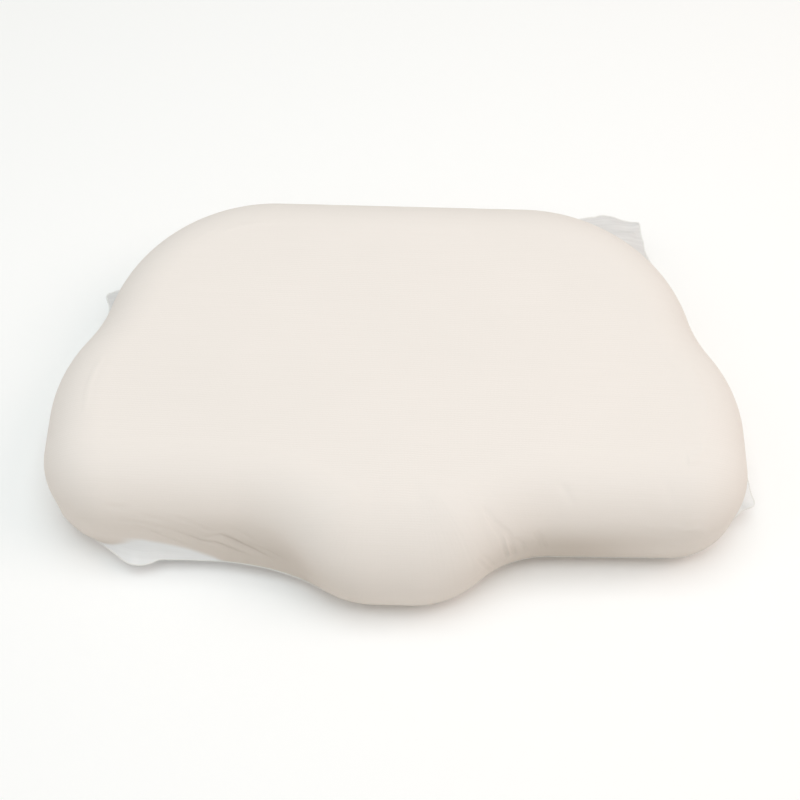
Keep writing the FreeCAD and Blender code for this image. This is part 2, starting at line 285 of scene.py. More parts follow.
def curve_through(points, per_span=12, ring=False):
    """A Catmull-Rom curve through points, or through rows of points, along the first axis."""
    if ring:
        before, after = points[-1:], points[:2]
    else:
        before, after = 2 * points[:1] - points[1:2], 2 * points[-1:] - points[-2:-1]
    padded = np.concatenate([before, points, after])
    a, b, c, d = (padded[i:len(padded) - 3 + i, None] for i in range(4))
    t = (np.arange(per_span) / per_span).reshape(1, per_span, *[1] * (points.ndim - 1))
    spans = catmull_rom(a, b, c, d, t).reshape(-1, *points.shape[1:])
    return spans if ring else np.concatenate([spans, points[-1:]])


def wall_inset(z):
    """How far the cloth's wall lies inside its widest line at a height."""
    rounding = BOTTOM_ROUNDING + CLOTH_GAP
    drop = np.clip(FOAM_FLOOR - CLOTH_GAP + rounding - z, 0, rounding)
    return rounding - np.sqrt(rounding ** 2 - drop ** 2)


class Seam:
    """The line where the panels meet, in plan and height, for each distance round the outline."""

    def __init__(self, lengths):
        self.lengths = lengths
        on_outline = outline.at(lengths)
        inset = wall_inset(seam_level(on_outline[:, 1]))
        self.plan = on_outline + outline.normal_at(lengths) * (CLOTH_GAP - inset)[:, None]
        wall = self.plan.copy()
        self.rise, self.taut, self.sheer = np.zeros((3, len(lengths)))
        for corner in LOOSE_CORNERS.values():
            self.add_corner(corner)
        x, y = self.plan.T
        self.reach = np.linalg.norm(self.plan - wall, axis=1)
        self.level = seam_level(y) + self.rise
        beside_zip = smooth(ZIP_HALF - 0.8 * MM, ZIP_HALF + 0.8 * MM, np.abs(x))
        self.slot = SLOT_HALF * ((y > 0) * (1 - beside_zip))

    def add_corner(self, corner):
        begin, end = outline.length_near(*corner["start"]), outline.length_near(*corner["end"])
        where = np.nonzero((self.lengths >= begin) & (self.lengths <= end))[0]
        share = (self.lengths[where] - begin) / (end - begin)
        edge = np.vstack([self.plan[where[0]], np.array(corner["points"]) * MM, self.plan[where[-1]]])
        self.plan[where] = resample(curve_through(edge), share)
        self.rise[where] = corner["rise"] * MM * np.sin(np.pi * share) ** 0.7
        self.taut[where] = np.interp(share, *zip(*corner.get("taut", [(0, 0)])))
        self.sheer[where] = np.interp(share, *zip(*corner.get("sheer", [(0, 40)]))) * MM


# ---- creases ----
# Width and height in mm, then the points along each in mm: the distance round the outline and
# the distance along the cloth from its inner ring. A negative height is a hollow.

CREASES = [
    # pulled over the shoulder to the right of the lobe
    (1.5, 2.9, [(752, 34), (751, 50), (748, 64), (746, 81), (742, 105)]),
    (1.6, -0.9, [(749, 56), (746, 72), (741, 92), (738, 106)]),
    (1.5, 3.2, [(752, 41), (748, 53), (741, 68), (738, 86), (734, 107)]),
    (1.4, 1.8, [(736, 75), (730, 86), (723, 105)]),
    (1.3, 1.5, [(719, 76), (714, 88), (710, 103)]),
    (1.3, 2.1, [(716, 74), (711, 86), (706, 103)]),
    (1.5, 1.0, [(773, 72), (767, 90), (757, 118)]),
    (1.5, 0.9, [(768, 72), (761, 90), (752, 116)]),
    (3.5, 0.55, [(699, 29), (694, 36), (688, 48)]),
    (3.5, 0.45, [(611, 24), (607, 36), (604, 46)]),
    # fanning out over the left recess from the loose corner
    (1.6, 2.0, [(1020, 99), (1007, 94), (998, 99), (988, 106), (974, 113), (962, 118)]),
    (1.8, -0.5, [(1023, 104), (1008, 104), (997, 110), (986, 116), (974, 120)]),
    (1.6, 1.6, [(1050, 90), (1037, 97), (1025, 105), (1011, 107), (997, 115), (986, 120)]),
    (1.7, 1.1, [(1084, 85), (1071, 92), (1058, 102), (1047, 110), (1033, 116)]),
    (1.7, 0.8, [(1096, 78), (1079, 80), (1062, 86), (1047, 90)]),
    (1.8, 0.7, [(1044, 71), (1029, 79), (1018, 87), (1005, 89)]),
    (1.9, 0.7, [(1000, 82), (990, 88), (981, 94), (969, 99)]),
    (1.8, 0.7, [(974, 105), (958, 109), (947, 109)]),
    (2.0, 0.5, [(1075, 69), (1062, 74), (1049, 78)]),
    (2.2, 0.5, [(1107, 61), (1096, 62), (1086, 62)]),
    # across the loose corners at the back right and the front right
    (2.6, 1.3, [(198, 108), (208, 117), (220, 128)]),
    (2.4, -0.9, [(206, 106), (214, 115), (225, 124)]),
    (2.0, 0.9, [(178, 112), (186, 111), (196, 118)]),
    (1.6, 0.9, [(490, 117), (496, 121), (503, 127)]),
]

# Fainter creases between those of the fan, each one further along and lower down.
for i in range(8):
    x, y = 1096 - 15 * i, 88 + 1.5 * i
    CREASES.append((1.3, 0.35, [(x, y), (x - 16, y + 7), (x - 32, 103 + i)]))


def add_creases(cloth_band, lengths):
    """Lifts the band's cloth straight off its surface along each crease."""
    run = lengths_along(cloth_band)
    place = np.stack([np.broadcast_to(lengths[:, None], run.shape), run], -1).reshape(-1, 2)
    lift = np.zeros(len(place))
    for width, height, points in CREASES:
        line = curve_through(np.array(points, float) * MM, 20)
        reach = 4 * width * MM
        near = np.nonzero(((place > line.min(0) - reach) & (place < line.max(0) + reach)).all(1))[0]
        away = np.linalg.norm(place[near, None] - line[None], axis=-1)
        share = away.argmin(1) / (len(line) - 1)
        fade = np.sin(np.pi * (0.06 + 0.88 * share)) ** 0.8
        lift[near] += height * MM * fade * np.exp(-(away.min(1) / (width * MM)) ** 2)
    return cloth_band + grid_normals(cloth_band) * lift.reshape(run.shape)[..., None]


# ---- panels ----

# Where the cloth is creased or loose: a stretch of the outline between two plan points, and the
# spacing of the rows of points there, all in mm.
FINE_STRETCHES = (
    ((109, 207), (119, 207), 1.0),
    ((-119, 207), (-109, 207), 1.0),
    ((120, 207), (272, 100), 1.7),
    ((311, 20), (300, -115), 2.0),
    ((190, -135), (-311, -60), 1.6),
    ((-276, 50), (-215, 180), 1.7),
)
CREASED_SHOULDER = (700 * MM, 775 * MM, 1.1)  # by distance round the outline
COARSE_SPACING = 3.6


def sample_lengths():
    """Distances round the outline, closer together where the cloth is creased or loose."""
    ticks = np.linspace(0, outline.total, 4000)
    spacing = np.full(len(ticks), COARSE_SPACING)
    stretches = [(outline.length_near(*a), outline.length_near(*b), fine) for a, b, fine in FINE_STRETCHES]
    for near, far, fine in stretches + [CREASED_SHOULDER]:
        inside = smooth(near - 0.02, near, ticks) * (1 - smooth(far, far + 0.02, ticks))
        spacing = mix(spacing, fine, inside)
    crowd = np.concatenate([[0], np.cumsum(np.diff(ticks) / spacing[1:] / MM)])
    count = int(crowd[-1] // 12) * 12
    return np.interp(np.linspace(0, crowd[-1], count, endpoint=False), crowd, ticks)


def foam_section(depth, gap, top, rounding):
    """Height of the foam's upper or lower skin, swollen by a gap, at a depth inside its edge."""
    rounding = rounding + gap
    inner = rounding - depth
    eased = 0.5 * (inner + np.sqrt(inner ** 2 + EASE ** 2))
    inner = mix(eased, inner, np.clip(inner / rounding, 0, 1)) if top else inner
    drop = rounding - np.sqrt(rounding ** 2 - np.clip(inner, 0, rounding) ** 2)
    return FOAM_TOP + gap - drop if top else FOAM_FLOOR - gap + drop


def section_depths(gap, count=44):
    """Depths inside the swollen edge, from the inner ring to the widest line of the wall."""
    return (INNER_RING + gap) * (1 - np.sin(np.linspace(0, np.pi / 2, count)))


def foam_top(plan, gap):
    """Height of the foam's upper skin, swollen by a gap, over plan points."""
    near, depth = outline.measure(plan)
    return foam_section(depth + gap, gap, True, outline.dense_rounding[near])


def foam_bottom(plan, gap):
    return np.full(plan.shape[:-1], FOAM_FLOOR - gap)


def bezier(a, b, c, d, count=14):
    t = np.linspace(0, 1, count)[:, None]
    return a * (1 - t) ** 3 + 3 * b * t * (1 - t) ** 2 + 3 * c * t ** 2 * (1 - t) + d * t ** 3


def band(seam, top, rings):
    """The side band of a panel: a ring of rows of points, from its inner ring out to the seam."""
    inner = outline.at(seam.lengths) - outline.normal_at(seam.lengths) * INNER_RING
    out = seam.plan - inner
    reach = np.linalg.norm(out, axis=1)
    out = out / reach[:, None]
    travel = np.linspace(0, 1.25, 90)
    stations = inner[:, None] + out[:, None] * (reach[:, None] * travel[None])[..., None]
    depth = outline.measure(stations)[1] + CLOTH_GAP
    depths = section_depths(CLOTH_GAP)
    rounding = top_rounding_at(outline.at(seam.lengths))
    upper = foam_section(depths, CLOTH_GAP, True, rounding[:, None])
    lower = foam_section(depths, CLOTH_GAP, False, BOTTOM_ROUNDING)
    sign = 1 if top else -1
    even = np.linspace(0, 1, rings)
    shares = even + 0.35 * even * (1 - even)  # closer together towards the seam
    rows = []
    for i in range(len(reach)):
        going_out = np.minimum.accumulate(depth[i])
        walk = np.interp(-depths, -going_out, reach[i] * travel)
        section = np.vstack([np.stack([walk, upper[i]], -1), np.stack([walk, lower], -1)[::-1]])
        end = np.array([reach[i], seam.level[i] + sign * seam.slot[i]])
        path = panel_path(section if top else section[::-1], end, seam.reach[i], seam.taut[i], top)
        rows.append(resample(path, shares))
    rows = np.array(rows)
    plan = inner[:, None] + out[:, None] * rows[..., :1]
    return np.concatenate([plan, rows[..., 1:]], -1)


def panel_path(section, end, loose, taut, top):
    """One thread of cloth in the section's plane, from the flat of the foam to the seam."""
    sign = 1 if top else -1
    turn_off = end[1] + sign * (5 * MM + min((0.9 if top else 0.5) * loose, 18 * MM))
    above = sign * (section[:, 1] - turn_off) > 0
    last = max(np.nonzero(above)[0][-1], 1) if above.any() else 1
    here, further = section[last], section[min(last + 1, len(section) - 1)]
    gone = np.clip((here[1] - turn_off) / (here[1] - further[1] + 1e-12), 0, 1)
    leave = mix(here, further, gone)
    down = unit(further - here)
    outwards = unit(mix(down, np.array([1.0, -0.25 * sign]), float(smooth(0, 8 * MM, loose))))
    hand = np.linalg.norm(end - leave) / 2.4
    close = np.vstack([section[: last + 1], bezier(leave, leave + down * hand, end - outwards * hand, end)])
    if taut <= 0:
        return close
    lift = np.arctan2(sign * (section[:, 1] - end[1]), end[0] - section[:, 0])
    tangent = int(np.argmax(lift))
    straight = np.vstack([section[: tangent + 1], end])
    shares = np.linspace(0, 1, 80)
    return mix(resample(close, shares), resample(straight, shares), taut)


def close_ring(grid, column, height_at, gap, spacing, first, flip):
    """Closes a grid's ring at a column with even triangles: new points, from first on, and faces."""
    rows, rings = grid.shape[:2]
    ring = grid[:, column, :2]
    low, high = ring.min(0), ring.max(0)
    xs = np.arange(low[0] + spacing / 2, high[0], spacing)
    ys = np.arange(low[1] + spacing / 2, high[1], spacing)
    inside = np.stack(np.meshgrid(xs, ys, indexing="ij"), -1).reshape(-1, 2)
    inside = inside[outline.measure(inside)[1] > INNER_RING + 0.6 * spacing]
    edges = [(i, (i + 1) % rows) for i in range(rows)]
    made = delaunay_2d_cdt([Vector(p) for p in np.vstack([ring, inside])], edges, [], 1, 1e-9)
    number = np.concatenate([np.arange(rows) * rings + column, first + np.arange(len(inside))])
    number = [number[came_from[0]] for came_from in made[3]]
    faces = [tuple(number[i] for i in (face[::-1] if flip else face)) for face in made[2]]
    return np.column_stack([inside, height_at(inside, gap)]), faces


# ---- the foam core ----

def foam_skin(along, gap):
    """The foam's side from its flat top to its flat bottom, swollen by a gap, as a ring of rows."""
    depths, low_depths, wall_rings = section_depths(gap, 26), section_depths(gap, 20)[::-1], 12
    rounding = top_rounding_at(outline.at(along))
    highs = foam_section(depths, gap, True, rounding[:, None])
    lows = foam_section(low_depths, gap, False, BOTTOM_ROUNDING)
    down_wall = np.linspace(0, 1, wall_rings + 2)[1:-1]
    walls = mix(highs[:, -1:], lows[0], down_wall)
    levels = np.hstack([highs, walls, np.broadcast_to(lows, (len(along), len(lows)))])
    inwards = np.concatenate([depths, np.zeros(wall_rings), low_depths])
    plan = outline.at(along)[:, None] + outline.normal_at(along)[:, None] * (gap - inwards)[None, :, None]
    return np.concatenate([plan, levels[..., None]], -1)


def closed_foam(name, gap, along, look):
    """A closed foam body of the same shape as the core, swollen by a gap."""
    skin = foam_skin(along, gap)
    rows, rings = skin.shape[:2]
    points, faces = [skin.reshape(-1, 3)], grid_faces(rows, rings)
    count = rows * rings
    for column, height_at in ((0, foam_top), (rings - 1, foam_bottom)):
        patch, more = close_ring(skin, column, height_at, gap, 9 * MM, count, column > 0)
        points.append(patch)
        faces += more
        count += len(patch)
    return new_mesh(name, np.vstack(points), faces, look)


def foam_distance(points):
    """How far each point lies outside the foam's skin, and the way straight out of it."""
    flat = points.reshape(-1, 3)
    near, depth = outline.measure(flat[:, :2])
    out = outline.dense_normals[near]
    upper = flat[:, 2] > FOAM_FLOOR + BOTTOM_ROUNDING
    rounding = np.where(upper, outline.dense_rounding[near], BOTTOM_ROUNDING)
    centre = np.where(upper, FOAM_TOP - rounding, FOAM_FLOOR + BOTTOM_ROUNDING)
    sign = np.where(upper, 1.0, -1.0)
    rise = np.maximum(sign * (flat[:, 2] - centre), 0)
    side = np.maximum(rounding - depth, 0)
    reach = np.maximum(np.hypot(side, rise), 1e-9)
    way = np.column_stack([out * (side / reach)[:, None], sign * rise / reach])
    return (reach - rounding).reshape(points.shape[:-1]), way.reshape(points.shape)


def keep_off_foam(points, gap):
    """Moves points that are nearer to the foam than a gap straight out to it."""
    distance, way = foam_distance(points)
    return points + way * np.maximum(gap - distance, 0)[..., None]


# ---- cloth simulation of the cover's side ----

COARSE = 3  # every third row and ring of the fine bands makes the cloth that is simulated
FRAMES = 24
CLOTH_SETTINGS = dict(
    quality=8, mass=0.15, tension_stiffness=20, compression_stiffness=12, shear_stiffness=6,
    bending_stiffness=0.15, vertex_group_mass="hold", pin_stiffness=1.0,
    vertex_group_shrink="slack", shrink_min=0.012, shrink_max=-0.05,
)


def refine(coarse):
    """A coarse ring of rows as fine as the bands."""
    return curve_through(curve_through(coarse, COARSE, ring=True).swapaxes(0, 1), COARSE).swapaxes(0, 1)


def add_group(piece, name, weights):
    group = piece.vertex_groups.new(name=name)
    for i, weight in enumerate(weights.ravel()):
        group.add([i], float(weight), "REPLACE")


def settle(top, bottom, seam, look):
    """How far the side's cloth moves as it pulls snug over the foam and its loose corners droop."""
    upper, lower = top[::COARSE, ::COARSE], bottom[::COARSE, ::COARSE]
    joined = (upper[:, -1:] + lower[:, -1:]) / 2
    start = np.concatenate([upper[:, :-1], joined, lower[:, ::-1][:, 1:]], axis=1)
    rows, columns = start.shape[:2]
    cloth = new_mesh("settling_cloth", start.reshape(-1, 3), grid_faces(rows, columns), look)
    body = closed_foam("settling_foam", -1.5 * MM, seam.lengths[::COARSE], look)
    body.modifiers.new("Collision", "COLLISION")
    body.collision.thickness_outer = 0.001
    body.collision.cloth_friction = 8

    # held at both ends, at the seam and where it is drawn straight; slack in the loose corners
    taut = smooth(0.1, 0.5, seam.taut[::COARSE])
    loose = smooth(1 * MM, 8 * MM, seam.reach[::COARSE]) * (1 - taut)
    at_seam = upper.shape[1] - 1
    column = np.arange(columns)
    ends = np.maximum(1 - column / 3, 1 - (columns - 1 - column) / 3).clip(0, 1)
    middle = np.exp(-((column - at_seam) / 1.2) ** 2)
    hold = np.maximum(ends[None], 0.25 * (1 - loose)[:, None])
    hold = np.maximum(hold, (0.6 + 0.1 * (1 - loose))[:, None] * middle[None])
    hold = np.maximum(hold, 0.85 * taut[:, None])
    add_group(cloth, "hold", np.clip(hold, 0, 1))
    add_group(cloth, "slack", loose[:, None] * np.exp(-((column - at_seam) / 5.0) ** 2)[None])

    sim = cloth.modifiers.new("Cloth", "CLOTH")
    for key, value in CLOTH_SETTINGS.items():
        setattr(sim.settings, key, value)
    sim.collision_settings.use_collision = True
    sim.collision_settings.distance_min = 0.001
    sim.collision_settings.use_self_collision = False
    scene = bpy.context.scene
    for moment in range(1, FRAMES + 1):
        scene.frame_set(moment)
    settled = cloth.evaluated_get(bpy.context.evaluated_depsgraph_get()).to_mesh()
    after = np.zeros(start.size, np.float32)
    settled.vertices.foreach_get("co", after)
    scene.frame_set(1)
    for piece in (cloth, body):
        bpy.data.objects.remove(piece)

    # no point may move further than 3 mm, or 12 mm in a loose corner
    moved = after.reshape(start.shape).astype(float) - start
    size = np.linalg.norm(moved, axis=-1, keepdims=True)
    most = (3 * MM + 9 * MM * loose)[:, None, None]
    moved *= most * np.tanh(size / most) / np.maximum(size, 1e-9)
    return moved[:, : at_seam + 1], moved[:, at_seam:][:, ::-1]


# ---- materials ----

class Look:
    """A material and the shader nodes that are added to it."""

    def __init__(self, name):
        self.material = bpy.data.materials.new(name)
        self.material.use_nodes = True
        self.tree = self.material.node_tree
        self.shader = self.tree.nodes["Principled BSDF"].inputs

    def set(self, socket, value):
        if isinstance(value, bpy.types.NodeSocket):
            self.tree.links.new(value, socket)
        else:
            socket.default_value = (*value, 1) if socket.type == "RGBA" else value

    def finish(self, color, roughness, more=()):
        """Sets the shader's colour, its roughness and more of its inputs; gives the material."""
        inputs = {"Base Color": color, "Roughness": roughness, **dict(more)}
        for name, value in inputs.items():
            self.set(self.shader[name], value)
        return self.material

    def add(self, kind, inputs=(), **settings):
        node = self.tree.nodes.new("ShaderNode" + kind)
        for name, value in settings.items():
            setattr(node, name, value)
        for key, value in dict(inputs).items():
            self.set(node.inputs[key], value)
        return node

    def attribute(self, name, output="Fac"):
        return self.add("Attribute", attribute_name=name).outputs[output]

    def place(self):
        return self.add("TexCoord").outputs["Object"]

    def parts(self, vector):
        return self.add("SeparateXYZ", {0: vector}).outputs

    def math(self, operation, *values):
        return self.add("Math", dict(enumerate(values)), operation=operation).outputs[0]

    def noise(self, vector, scale, detail=2.0, roughness=0.5):
        inputs = {"Vector": vector, "Scale": scale, "Detail": detail, "Roughness": roughness}
        return self.add("TexNoise", inputs).outputs["Fac"]

    def spread(self, value, low, high, to_low=0.0, to_high=1.0):
        inputs = {"Value": value, "From Min": low, "From Max": high, "To Min": to_low, "To Max": to_high}
        return self.add("MapRange", inputs).outputs[0]

    def ripple(self, value, wavelength, shift=0.0):
        """A sine wave along a value, shifted by an angle."""
        return self.math("SINE", self.math("MULTIPLY_ADD", value, 2 * math.pi / wavelength, shift))

    def total(self, *terms):
        """The sum of values times their weights."""
        result = 0.0
        for value, weight in terms:
            result = self.math("MULTIPLY_ADD", value, weight, result)
        return result

    def blend(self, share, a, b, kind="MIX"):
        node = self.add("Mix", data_type="RGBA", blend_type=kind)
        for index, value in ((0, share), (6, a), (7, b)):
            self.set(node.inputs[index], value)
        return node.outputs[2]

    def bump(self, height, strength, depth):
        node = self.add("Bump", {"Strength": strength, "Distance": depth, "Height": height})
        self.set(self.shader["Normal"], node.outputs[0])


def knit_material():
    """Fine white jersey, tinted by the cream foam behind it and whiter where nothing is behind, with
    painted shade on its steep sides, at the foot of the side, in the recesses and on the loose corners at
    the back.
    """
    look = Look("cover_knit")
    flat = look.attribute("cloth", "Vector")
    parts = look.parts(flat)
    wander = look.math("MULTIPLY", look.noise(flat, 60.0, 3.0), 9.0)
    courses, wales = look.ripple(parts[1], 2.1 * MM, wander), look.ripple(parts[0], 1.2 * MM)
    fuzz = look.noise(flat, 1400.0)
    look.bump(look.total((courses, 0.5), (wales, 0.22), (fuzz, 1.6)), 0.25, 0.10 * MM)
    streaks = look.add("Mapping", {"Vector": flat, "Scale": (14.0, 420.0, 1.0)}).outputs[0]
    threads = look.spread(look.noise(streaks, 1.0, 3.0), 0.3, 0.7)
    blotches = look.spread(look.noise(flat, 9.0), 0.35, 0.65)

    def threaded(share, ground, thread):
        return look.blend(look.math("MULTIPLY", threads, share), ground, thread)

    cream = look.blend(blotches, (0.832, 0.778, 0.735), (0.843, 0.787, 0.744))
    cream = threaded(0.22, cream, (0.80, 0.748, 0.70))
    # painted shade: the steeper the surface, the darker the cream cloth, as if less light reached the sides
    upright = look.parts(look.add("NewGeometry").outputs["Normal"])[2]
    painted_side_shade = look.spread(upright, 0.9, 0.0)
    cream = look.blend(painted_side_shade, cream, (0.965, 0.940, 0.912), "MULTIPLY")
    # painted shade at the foot of the side and in the shoulder recesses, read from the low attribute
    cream = look.blend(look.attribute("low"), cream, (0.64, 0.605, 0.555), "MULTIPLY")
    # lit and painted-shade copies of the white cloth: the shaded one darkens the loose corners at the back
    lit = threaded(0.4, (0.88, 0.885, 0.89), (0.80, 0.80, 0.80))
    dim = threaded(0.6, (0.66, 0.635, 0.62), (0.50, 0.47, 0.46))
    white = look.blend(look.attribute("shade"), lit, dim)
    color = look.blend(look.attribute("loose"), cream, white)
    roughness = look.spread(look.noise(flat, 500.0), 0.3, 0.7, 0.78, 0.92)
    return look.finish(color, roughness, {"Sheen Weight": 0.10, "Sheen Roughness": 0.5})


def foam_material():
    """Moulded foam with a faint open-cell skin."""
    look = Look("foam")
    place = look.place()
    cells = look.add("TexVoronoi", {"Vector": place, "Scale": 900.0}).outputs["Distance"]
    look.bump(cells, 0.4, 0.2 * MM)
    tone = look.spread(look.noise(place, 25.0, 4.0), 0.3, 0.7)
    color = look.blend(tone, (0.86, 0.78, 0.62), (0.88, 0.81, 0.67))
    return look.finish(color, look.spread(tone, 0.0, 1.0, 0.82, 0.95))


def thread_material():
    """White spun polyester thread, with its twist as a fine diagonal bump."""
    look = Look("seam_thread")
    place = look.place()
    waves = {"Vector": place, "Scale": 900.0, "Distortion": 1.5}
    twist = look.add("TexWave", waves, bands_direction="DIAGONAL").outputs["Fac"]
    look.bump(twist, 0.5, 0.05 * MM)
    color = look.blend(look.noise(place, 300.0), (0.80, 0.79, 0.77), (0.90, 0.89, 0.87))
    return look.finish(color, look.spread(twist, 0.0, 1.0, 0.5, 0.75))


def tape_material():
    """Narrow woven tape: a herringbone twill."""
    look = Look("zip_tape")
    place = look.place()
    along, _, up = look.parts(place)
    slant = look.math("ADD", along, look.math("PINGPONG", up, 1.6 * MM))
    twill, warp = look.ripple(slant, 0.7 * MM), look.ripple(up, 0.4 * MM)
    height = look.total((twill, 1.0), (warp, 0.4))
    look.bump(height, 0.7, 0.08 * MM)
    color = look.blend(look.spread(height, -1.4, 1.4), (0.76, 0.75, 0.72), (0.87, 0.86, 0.84))
    return look.finish(color, look.spread(look.noise(place, 200.0), 0.3, 0.7, 0.7, 0.9))


def nylon_material():
    """Drawn nylon coil, slightly waxy."""
    look = Look("zip_coil")
    cloud = look.noise(look.place(), 500.0, 3.0)
    look.bump(cloud, 0.2, 0.03 * MM)
    color = look.blend(cloud, (0.78, 0.78, 0.76), (0.88, 0.88, 0.86))
    waxy = {"Subsurface Weight": 0.15, "Subsurface Scale": 0.5 * MM}
    return look.finish(color, look.spread(cloud, 0.3, 0.7, 0.28, 0.45), waxy)


def metal_material(name, low, high, metallic, grain):
    """Die-cast or pressed metal with faint tumbling marks and rubbed edges."""
    look = Look(name)
    marks = look.noise(look.place(), grain, 5.0, 0.65)
    look.bump(marks, 0.25, 0.04 * MM)
    edges = look.spread(look.add("NewGeometry").outputs["Pointiness"], 0.5, 0.6)
    worn = look.math("MULTIPLY", edges, look.spread(marks, 0.4, 0.6))
    roughness = look.spread(marks, 0.3, 0.7, 0.3, 0.5)
    return look.finish(look.blend(worn, high, low), roughness, {"Metallic": metallic})


cover_knit, foam_look = knit_material(), foam_material()
thread_look, tape_look, nylon_look = thread_material(), tape_material(), nylon_material()
stop_look = metal_material("zip_stop", (0.45, 0.45, 0.46), (0.74, 0.74, 0.75), 1.0, 900.0)
slider_look = metal_material("zip_slider", (0.55, 0.55, 0.56), (0.85, 0.84, 0.82), 0.0, 700.0)
for node in ("zip_tape_upper", "zip_tape_lower"):
    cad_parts[node].data.materials.clear()
    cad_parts[node].data.materials.append(tape_look)

# ---- the cover's shape ----

seam = Seam(sample_lengths())
TOP_RINGS, BOTTOM_RINGS = 22 * COARSE + 1, 10 * COARSE + 1
top_band = band(seam, True, TOP_RINGS)
bottom_band = band(seam, False, BOTTOM_RINGS)
closed = seam.slot < 0.1 * MM  # the rows whose two panels meet at the seam
top_moved, bottom_moved = settle(top_band, bottom_band, seam, foam_look)
top_band = top_band + refine(top_moved)
bottom_band = bottom_band + refine(bottom_moved)
top_band = keep_off_foam(top_band, CLOTH_GAP)
bottom_band = keep_off_foam(bottom_band, CLOTH_GAP)
bottom_band[..., 2] = np.maximum(bottom_band[..., 2], FOAM_FLOOR - CLOTH_GAP)  # it rests on the floor

flutter = Ripples(5, 16 * MM)
for cloth_band, share in ((top_band, 1.0), (bottom_band, 0.6)):
    away = np.linspace(0, 1, cloth_band.shape[1])[None] ** 6 * smooth(4 * MM, 14 * MM, seam.reach)[:, None]
    away = away * (1 - smooth(0.2, 0.6, seam.taut))[:, None]
    cloth_band[..., 2] += share * 1.1 * MM * flutter.at(cloth_band) * away
top_band = keep_off_foam(add_creases(top_band, seam.lengths), 0.3 * MM)
bottom_band[closed, -1] = top_band[closed, -1]


def flat_cloth(cloth_band):
    """Where each point of a band lies in the flat cloth: its plan, unrolled along its row."""
    run = lengths_along(cloth_band)
    start = cloth_band[:, :1, :2]
    way = unit(cloth_band[:, -1:, :2] - start)
    flat = start + way * run[..., None]
    return np.concatenate([flat, np.zeros((*flat.shape[:2], 1))], -1)


def cover_panel(name, cloth_band, height_at, top):
    """One panel: its side band and its inner patch as one mesh of cloth."""
    rows, rings = cloth_band.shape[:2]
    patch, more = close_ring(cloth_band, 0, height_at, CLOTH_GAP, 5 * MM, rows * rings, not top)
    points = np.vstack([cloth_band.reshape(-1, 3), patch])
    piece = new_mesh(name, points, grid_faces(rows, rings, not top) + more, cover_knit)
    patch_flat = np.column_stack([patch[:, :2], np.zeros(len(patch))])
    set_attribute(piece, "cloth", np.vstack([flat_cloth(cloth_band).reshape(-1, 3), patch_flat]))
    distance, _ = foam_distance(points)
    off_foam = smooth(1.0 * MM, 3.2 * MM, distance)
    above = points[:, 2] - seam_level(points[:, 1])
    sheer, taut = (np.concatenate([np.repeat(values, rings), np.zeros(len(patch))])
                   for values in (seam.sheer, seam.taut))
    set_attribute(piece, "loose", off_foam * (1 - smooth(sheer - 4 * MM, sheer + 4 * MM, above)))
    # painted shade: the loose corners at the back are darker, most of all close to the foam
    set_attribute(piece, "shade", (points[:, 1] > 0) * (1 - 0.4 * smooth(2 * MM, 16 * MM, distance)))
    # painted shade: the side is darkened at its foot, and higher up in the recesses
    recess = sum(most * np.exp(-((points[:, :2] - middle) ** 2).sum(-1) / RECESS_REACH ** 2)
                 for middle, most in RECESSES)
    recess *= smooth(-50 * MM, 0, above)
    low = mix(0.4 * (1 - smooth(-2 * MM, 24 * MM, above)), 1 - smooth(24 * MM, 72 * MM, above), recess)
    set_attribute(piece, "low", low * (1 - 0.45 * taut))
    return piece


def stands_for(piece, node, body):
    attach(piece, body)
    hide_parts(node)


top_panel = cover_panel("cover_top", top_band, foam_top, True)
bottom_panel = cover_panel("cover_bottom", bottom_band, foam_bottom, False)
for piece in (top_panel, bottom_panel):
    stands_for(piece, piece.name + "_panel", "cushion")

foam = closed_foam("foam", 0.0, seam.lengths[::2], foam_look)
# the foam gives way behind the zip
behind_low = tape_low[0] - Vector((1, 1.6, 1)) * MM
behind_high = tape_high[1] + Vector((1, 9, 1)) * MM
for vertex in foam.data.vertices:
    if all(a < c < b for a, c, b in zip(behind_low, vertex.co, behind_high)):
        vertex.co.y = behind_low.y
stands_for(foam, "foam_core", "cushion")

# ---- building blocks for the seam and the zip ----

